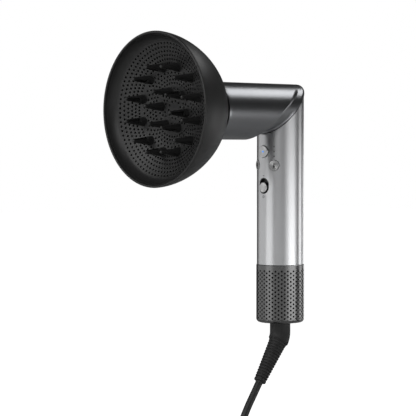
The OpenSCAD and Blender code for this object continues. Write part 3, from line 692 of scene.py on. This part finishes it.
NECK_R, RIM_R, BOWL_BACK, RIM_AT, BOWL_WALL = 27, 65.35, 94.8, 149.8, 2.2
t = np.linspace(0, 1, 72) ** 1.6
curve = NECK_R + (RIM_R - NECK_R) * (1 - (1 - t) ** 1.7) ** 0.66
bowl_out = np.stack([curve, BOWL_BACK + (RIM_AT - BOWL_BACK) * t], -1)[:-1]
bowl_in = np.stack([curve - BOWL_WALL * (1 + 0.6 * (1 - t)),
                    bowl_out[0, 1] + (RIM_AT - BOWL_BACK) * t + BOWL_WALL * (1 - t) ** 0.6], -1)
bowl_in = bowl_in[:-1][bowl_in[:-1, 0] > 25][::-1]
roll = np.linspace(0, np.pi, 9)
rim_roll = np.stack([RIM_R - BOWL_WALL / 2 + BOWL_WALL / 2 * np.cos(roll),
                     RIM_AT - BOWL_WALL / 2 + BOWL_WALL / 2 * np.sin(roll)], -1)
bowl_out = bowl_out[bowl_out[:, 1] < RIM_AT - BOWL_WALL / 2 - 0.3]
bowl_in = bowl_in[bowl_in[:, 1] < RIM_AT - BOWL_WALL / 2 - 0.3]
bowl_profile = np.vstack([[[20, 97], [20, 94.8], [24.9, 94.8]], bowl_out, rim_roll, bowl_in])
make_piece("bowl", *lathe(bowl_profile, 192, on_barrel), FINISHES["diffuser_black"], "diffuser",
           "diffuser_black", ["diffuser_bowl"])

# %% [markdown]
# ## The diffuser's plate
# The plate is a shallow dish with rings of fine holes that let the air out between the
# fingers. Holes of one size need fewer of them on a smaller ring, so the plate is made
# of bands, and each band has half as many columns as the one outside it. Where two bands
# meet, a face takes two edges of the finer ring and one of the coarser. No hole is made
# under a finger.

# %% Perforated plate
DISH_EDGE_R, DISH_AT, DISH_DEPTH, DISH_POWER, DISH_WALL = 57, 125.3, 14, 2.4, 1.6
OUTER_RING, INNER_RING, FINGER_BASE = 36.6, 16, 4.1
finger_angle = np.radians(np.concatenate([15 + 30 * np.arange(12), 49 + 60 * np.arange(6)]))
finger_ring = np.concatenate([np.full(12, OUTER_RING), np.full(6, INNER_RING)])
finger_at = finger_ring * np.exp(1j * finger_angle)
PLATE_HOLE = 0.98


def dish(radius, back=0.0):
    """Depth of the dish at a radius: its middle plus 14 mm times the radius's share to 2.4."""
    return DISH_AT + DISH_DEPTH * (np.asarray(radius) / DISH_EDGE_R) ** DISH_POWER - back


points, faces, seams, total = [], [], [], 0
for holes, ring_count, inner_edge, outer_edge in ((88, 6, 36.6, 58.1), (44, 5, 20.4, 36.3),
                                                  (22, 3, 9.8, 20.1), (11, 1, 5.4, 9.5)):
    columns = 4 * holes
    radius = np.linspace(outer_edge, inner_edge, 4 * ring_count + 3)
    front = np.stack([radius, dish(radius)], -1)
    rear = np.stack([radius, dish(radius, DISH_WALL)], -1)
    k, c = np.meshgrid(np.arange(ring_count), np.arange(holes), indexing="ij")
    blocks = np.stack([1 + 4 * k, (4 * c + 2 * (k % 2)) % columns], -1).reshape(-1, 2)
    centre = np.interp(blocks[:, 0] + 2, np.arange(len(radius)), radius) * np.exp(
        2j * np.pi * (blocks[:, 1] + 2) / columns)
    clear = np.abs(centre[:, None] - finger_at).min(1) > FINGER_BASE + PLATE_HOLE
    part, part_faces, half = perforated(columns, front, rear, blocks[clear], PLATE_HOLE, on_barrel)
    points.append(part)
    faces += [group + total for group in part_faces]
    last_ring = (len(radius) - 1) * columns
    # a band's second sheet starts after the first sheet's own rims
    seams.append((columns, total, total + last_ring, total + half, total + half + last_ring))
    total += len(part)

for (columns, _, end, _, back_end), (_, begin, _, back_begin, _) in zip(seams, seams[1:]):
    c = np.arange(columns // 2)
    beside, wide = (c + 1) % (columns // 2), columns
    for fine, coarse, flip in ((end, begin, 1), (back_end, back_begin, -1)):
        joint = np.stack([fine + 2 * c, fine + 2 * c + 1, fine + (2 * c + 2) % wide,
                          coarse + beside, coarse + c], -1)
        faces.append(joint[:, ::flip])

columns, _, end, _, back_end = seams[-1]
c = np.arange(columns)
beside = (c + 1) % columns
points.append(on_barrel(0, 0, np.array([dish(0), dish(0, DISH_WALL)])))
faces += [np.stack([end + c, end + beside, np.full(columns, total)], -1),
          np.stack([back_end + beside, back_end + c, np.full(columns, total + 1)], -1)]
columns, begin, _, back_begin, _ = seams[0]
swell = np.linspace(0, 1, 9)[1:, None]
brim_front = np.array([58.1, dish(58.1)]) * (1 - swell) ** 2 + np.array([62.5, 147.6]) * swell**2
brim_front = brim_front + 2 * swell * (1 - swell) * np.array([61.3, 143.0])
skirt = np.vstack([brim_front, [[62.8, 147.5], [62.8, 146.0]], brim_front[-2:0:-2] + [0.5, -1.3]])
angle = 2 * np.pi * np.arange(columns) / columns
points.append(on_barrel(skirt[:, :1], angle[None, :], skirt[:, 1:]).reshape(-1, 3))
faces.append(grid_quads(len(skirt), columns, start=total + 2)[:, ::-1])
faces += [close_edge(columns, begin, total + 2, True),
          close_edge(columns, total + 2 + (len(skirt) - 1) * columns, back_begin, True)]
make_piece("perforated_plate", *drop_unused(np.concatenate([p.reshape(-1, 3) for p in points]), faces),
           FINISHES["diffuser_black"], "diffuser", "diffuser_black", ["diffuser_plate"])

# %% [markdown]
# ## The boot
# The cord leaves through a rubber boot: a plain barrel below the sleeve that bends
# forward, and a ribbed tail that tapers so that the cord can't kink. It is a circle
# carried along a bent line. The line is straight, an arc, and straight again, and the
# radius along it is a taper plus a flat-topped wave for the ribs.

# %% Boot
BOOT_R, BOOT_TURN, BOOT_LEAN, BOOT_TAIL, RIBS = 9.1, -101.2, np.radians(34), 45.4, 15
ARC_R, RIB_START = 16.0, 7.0
NECK_WALL_R, GROOVE_R, SHOULDER_R = 7.6, 5.4, 8.2
boot_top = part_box("strain_relief")[1][2] / MM
arc_cut = ARC_R * np.tan(BOOT_LEAN / 2)
tail_s = np.linspace(0, BOOT_TAIL, 15 * 12 + 7)
rib_share = np.clip((tail_s - RIB_START) / (BOOT_TAIL - RIB_START - 1.4), 0, 1) * (RIBS - 1)
crest = ease((np.cos(2 * np.pi * rib_share) + 0.45) / 0.7) * (tail_s >= RIB_START - 1.0)
crest[-3:] = [1, 1, 0.85]
taper = np.interp(tail_s, [0, RIB_START - 1.6, RIB_START - 1.2, BOOT_TAIL],
                  [BOOT_R, SHOULDER_R, 7.2, 4.2])
ribbed = np.interp(tail_s, [0, RIB_START - 1.6, RIB_START, BOOT_TAIL], [BOOT_R, SHOULDER_R, 7.9, 5.4])
tail_r = np.where(tail_s < RIB_START - 1.2, ribbed, taper + (ribbed - taper) * crest)

stem = np.array([[boot_top, NECK_WALL_R], [-85.5, NECK_WALL_R], [-85.6, GROOVE_R], [-87.9, GROOVE_R],
                 [-88.1, SHOULDER_R], [-88.5, BOOT_R], [BOOT_TURN + arc_cut, BOOT_R]])
bend = np.linspace(0, BOOT_LEAN, 14)[1:-1]
arc_y = -ARC_R * (1 - np.cos(bend))
arc_z = BOOT_TURN + arc_cut - ARC_R * np.sin(bend)
keep = tail_s > arc_cut
line_y = np.concatenate([np.zeros(len(stem)), arc_y, -tail_s[keep] * np.sin(BOOT_LEAN)])
line_z = np.concatenate([stem[:, 0], arc_z, BOOT_TURN - tail_s[keep] * np.cos(BOOT_LEAN)])
lean = np.concatenate([np.zeros(len(stem)), bend, np.full(keep.sum(), BOOT_LEAN)])
radius = np.concatenate([stem[:, 1], np.full(len(bend), BOOT_R), tail_r[keep]])
a = np.linspace(0, 2 * np.pi, 48, endpoint=False)
rings = np.stack([radius[:, None] * np.cos(a),
                  line_y[:, None] + radius[:, None] * np.sin(a) * np.cos(lean)[:, None],
                  line_z[:, None] - radius[:, None] * np.sin(a) * np.sin(lean)[:, None]], -1)
make_piece("cord_boot", *closed_tube(rings), FINISHES["black_rubber"], "dryer", "black_rubber",
           ["strain_relief"])

# %% [markdown]
# ## Buttons and knob
# Each button is a metal cap turned on a lathe: fine circular cuts on its face spread a
# reflection into two bright fans, as on a record. That look comes from the shader's
# anisotropy, which needs to know which way the cuts run. So each cap carries a UV map
# whose U runs round the face, and the Tangent node reads the cuts' direction from it.


# %% Turned caps
def out_of_handle(angle, height):
    """A place function: radius round the button's axis, and along straight out of the handle."""
    outward = np.array([np.sin(angle), -np.cos(angle), 0])
    across = np.array([np.cos(angle), np.sin(angle), 0])

    def place(radius, turn, along):
        radius, turn, along = np.broadcast_arrays(radius, turn, along)
        flat = (radius * np.cos(turn))[..., None] * across + along[..., None] * outward
        return flat + np.stack([0 * radius, 0 * radius, height + radius * np.sin(turn)], -1)

    return place


def turned_cap(name, profile, place, body, node, columns=64):
    """A solid of revolution closed at both ends, with U round it and V along the profile."""
    turn = np.linspace(0, 2 * np.pi, columns, endpoint=False)
    rings = place(profile[:, :1], turn[None, :], profile[:, 1:])
    points, faces = closed_tube(rings)
    u, v = np.broadcast_arrays((turn / (2 * np.pi))[None, :], np.linspace(0, 1, len(profile))[:, None])
    uv = np.vstack([np.stack([u, v], -1).reshape(-1, 2), [[0.5, 0], [0.5, 1]]])
    return make_piece(name, points, faces, FINISHES["spun_metal"], body, "spun_metal", [node], uv=uv)


def cap_profile(radius, top, base, edge=0.35, eye=0.05, dish=0.12):
    """From the flange out along the wall, over a round edge, and across a slightly dished face."""
    turn = np.linspace(0, np.pi / 2, 6)
    rim = np.stack([radius - edge + edge * np.cos(turn), top - edge + edge * np.sin(turn)], -1)
    share = np.linspace(1, 0, 9)[1:]
    face = np.stack([eye + (radius - edge - eye) * share, top - dish * (1 - share**2)], -1)
    stem_and_flange = [[1.0, base - 0.8], [1.0, base], [radius + 0.8, base],
                       [radius + 0.8, base + 0.6], [radius, base + 0.6]]
    return np.vstack([stem_and_flange, rim, face])


HANDLE_R, FLANGE_IN = 20.8, 17.3
MODE_R, SIDE_R, KNOB_R = 5.2, 4.5, 4.4
SIDE_TURN = np.radians(29.5)
MODE_Z, SIDE_Z = 63.7, 51.8
eye_well = np.array([[0.8, 18.4], [0.05, 18.4]])
mode_profile = np.vstack([cap_profile(MODE_R, HANDLE_R + 0.9, FLANGE_IN, eye=0.8), eye_well])
turned_cap("mode_cap", mode_profile, out_of_handle(0, MODE_Z), "mode_key", "mode_button")
side_profile = cap_profile(SIDE_R, HANDLE_R + 0.4, FLANGE_IN)
turned_cap("heat_cap", side_profile, out_of_handle(SIDE_TURN, SIDE_Z), "heat_key", "heat_button")
turned_cap("speed_cap", side_profile, out_of_handle(-SIDE_TURN, SIDE_Z), "speed_key", "speed_button")
knob_z = sum(point[2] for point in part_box("power_slider")) / 2 / MM
knob_top, knob_base, stem_foot = 21.6, 17.8, 15.9
rim_and_face = cap_profile(KNOB_R, knob_top, 17.2)[5:]
knob_profile = np.vstack([[[1.0, stem_foot], [1.0, knob_base], [KNOB_R, knob_base]], rim_and_face])
turned_cap("power_knob", knob_profile, out_of_handle(0, knob_z), "slider", "power_slider")

# %% [markdown]
# ## Printed marks
# Small generic signs are printed on the metal: a dash above the power slider and an open
# ring below it, a thermometer on the heat button and a fan on the speed button. A print
# is a skin a few hundredths of a millimetre thick, so each mark is a flat outline given
# in (across, up) and wrapped on its surface, with a front, a back and a thin edge.


# %% Marks
def capsule(width, height, count=10):
    """A rounded bar: two half circles joined by straight sides."""
    a = np.linspace(0, np.pi, count)
    r, reach = min(width, height) / 2, abs(height - width) / 2
    top = np.stack([r * np.cos(a), reach + r * np.sin(a)], -1)
    bar = np.vstack([top, -top])
    return bar if height > width else bar[:, ::-1]


def disc(radius, count=24):
    """Points on a circle: radius times (cos, sin)."""
    a = np.linspace(0, 2 * np.pi, count, endpoint=False)
    return radius * np.stack([np.cos(a), np.sin(a)], -1)


def fan_blade(turn, size):
    """A petal: its width swells as the sine of its share of the way out, bent to one side."""
    t = np.linspace(0, 1, 10)
    width = 0.42 * size * np.sin(np.pi * t) ** 0.8
    spine = np.stack([0.28 * size * t**2, size * t], -1)
    side = np.stack([width / 2, 0 * t], -1)
    petal = np.vstack([spine + side, (spine - side)[::-1][1:-1]])
    c, s = np.cos(turn), np.sin(turn)
    return petal @ np.array([[c, s], [-s, c]])


def print_mark(name, shapes, lay, body, skin=0.04, sunk=0.02, ring=None):
    """Outlines in (across, up) become thin closed skins; a ring joins two outlines."""
    points, faces, total = [], [], 0
    for outline in shapes:
        n = len(outline)
        points += [lay(outline, skin), lay(outline, -sunk)]
        front = total + np.arange(n)
        ahead = np.roll(front, -1)
        edge = np.stack([front, front + n, ahead + n, ahead], -1)
        faces += [front[None], front[None, ::-1] + n, edge]
        total += 2 * n
    if ring is not None:
        points += [lay(ring[0], skin), lay(ring[1], skin), lay(ring[1], -sunk), lay(ring[0], -sunk)]
        faces.append(grid_quads(4, len(ring[0]), ring_rows=True, start=total))
    return make_piece(name, np.vstack(points), faces, FINISHES["printed_grey"], body, "black_rubber",
                      crease=60)


def lay_on_handle(height):
    """Wraps (across, up) on the handle's front: the angle is across over the radius."""
    return lambda flat, lift: on_handle(HANDLE_R + lift, flat[:, 0] / HANDLE_R, height + flat[:, 1])


def lay_on_cap(angle, height, face):
    """Lays (across, up) flat on a button's face."""
    place = out_of_handle(angle, height)
    return lambda flat, lift: place(np.hypot(*flat.T), np.arctan2(flat[:, 1], flat[:, 0]), face + lift)


print_mark("on_mark", [capsule(1.9, 0.55)], lay_on_handle(42.4), "dryer")
print_mark("off_mark", [], lay_on_handle(23.9), "dryer", ring=(disc(1.1), disc(0.7)))
print_mark("heat_sign", [capsule(0.9, 3.6), disc(0.95) - [0, 1.5]],
           lay_on_cap(SIDE_TURN, SIDE_Z, HANDLE_R + 0.33), "heat_key")
print_mark("speed_sign", [fan_blade(k * 2 * np.pi / 3, 2.2) for k in range(3)],
           lay_on_cap(-SIDE_TURN, SIDE_Z, HANDLE_R + 0.33), "speed_key")

# %% [markdown]
# ## Floor, lights and surroundings
# Satin metal shows little of its own colour: what is seen is the room. So soft boxes
# stand in a ring round the dryer, low enough for an upright tube to mirror them, and each
# one's power sets how light the band is that mirrors it: strong on the right and in
# front, faint between. One box above gives the barrel's top highlight, and a low one
# behind its lower one. The backdrop is pale and plain. It looks white to the camera, and
# is nearly dark in reflections, as a studio with black walls is. The floor is lit evenly.


# %% Studio
def facing(direction):
    """A turn whose z axis is a direction, kept upright."""
    z = Vector(direction).normalized()
    x = Vector((0, 0, 1)).cross(z).normalized()
    return Matrix((x, z.cross(x), z)).transposed().to_4x4()


def soft_box(name, direction, distance, width, height, power, target=(0, 0, 0.05)):
    """A flat light of a size in metres, on a direction from the dryer and turned to it."""
    light = bpy.data.lights.new(name, "AREA")
    light.shape, light.size, light.size_y = "RECTANGLE", width, height
    light.energy = power
    lamp = bpy.data.objects.new(name, light)
    toward = Vector(direction).normalized()
    lamp.matrix_world = Matrix.Translation(Vector(target) + distance * toward) @ facing(toward)
    bpy.context.collection.objects.link(lamp)
    lamp.visible_camera = False


def around(azimuth, elevation):
    """A direction by its turn from the front toward +X and its height, in degrees."""
    a, e = np.radians([azimuth, elevation])
    return (np.sin(a) * np.cos(e), -np.cos(a) * np.cos(e), np.sin(e))


# Each box: turn and height in degrees, width and height in metres, power in watts.
BOXES = {
    "right_box": (107, -18, 1.12, 0.95, 9.2), "side_box": (80, -16, 0.56, 0.95, 2.0),
    "front_box": (-10, -16, 1.12, 0.95, 4.8), "middle_box": (40, -16, 1.68, 0.95, 2.6),
    "left_box": (-60, -10, 1.68, 0.95, 3.2), "back_box": (160, -16, 0.56, 0.95, 3.6),
    "far_box": (200, -16, 0.56, 0.95, 2.6), "bowl_left_box": (-20, 28, 0.9, 0.8, 5.8),
    "bowl_right_box": (30, 28, 0.9, 0.8, 5.9),
}
BOX_DISTANCE = 1.6
for box, (turn, height, *size_and_power) in BOXES.items():
    soft_box(box, around(turn, height), BOX_DISTANCE, *size_and_power)
soft_box("top_box", (0.128, 0.677, 0.724), 1.5, 0.8, 0.46, 3.8, target=(0, 0, 0.1))
soft_box("low_box", around(139, -27), 1.5, 0.5, 0.4, 5.0, target=(0, 0, 0.1))

FLOOR_REACH = 8
floor_top = cad_box[0][2] - 0.0005
floor_mesh = bpy.data.meshes.new("floor")
floor_mesh.from_pydata([(x * FLOOR_REACH, y * FLOOR_REACH, floor_top)
                        for x, y in ((-1, -1), (1, -1), (1, 1), (-1, 1))], [], [(0, 1, 2, 3)])
floor = bpy.data.objects.new("floor", floor_mesh)
bpy.context.collection.objects.link(floor)


def seen_and_mirrored(tree, shown, mirrored):
    """A strength that is one value for the camera and another for reflections."""
    path = add_node(tree, "ShaderNodeLightPath")
    strength = add_node(tree, "ShaderNodeMapRange")
    strength.inputs["To Min"].default_value, strength.inputs["To Max"].default_value = mirrored, shown
    tree.links.new(path.outputs["Is Camera Ray"], strength.inputs["Value"])
    return strength.outputs["Result"]


pale = bpy.data.materials.new("pale_floor")
pale.use_nodes = True
shader = pale.node_tree.nodes["Principled BSDF"]
shader.inputs["Base Color"].default_value = (0.8, 0.8, 0.8, 1)
shader.inputs["Roughness"].default_value = 0.6
shader.inputs["Emission Color"].default_value = (1, 1, 1, 1)
glow = seen_and_mirrored(pale.node_tree, 1.0, 0.0)
pale.node_tree.links.new(glow, shader.inputs["Emission Strength"])
floor_mesh.materials.append(pale)

world = bpy.data.worlds.new("studio")
bpy.context.scene.world = world
world.use_nodes = True
backdrop = world.node_tree.nodes["Background"]
backdrop.inputs["Color"].default_value = (1, 1, 1, 1)
world.node_tree.links.new(seen_and_mirrored(world.node_tree, 1.0, 0.04), backdrop.inputs["Strength"])
bpy.context.scene.view_settings.view_transform = "Standard"
print("floor at", round(floor_top, 4), "m;", len(bpy.data.lights), "soft boxes")
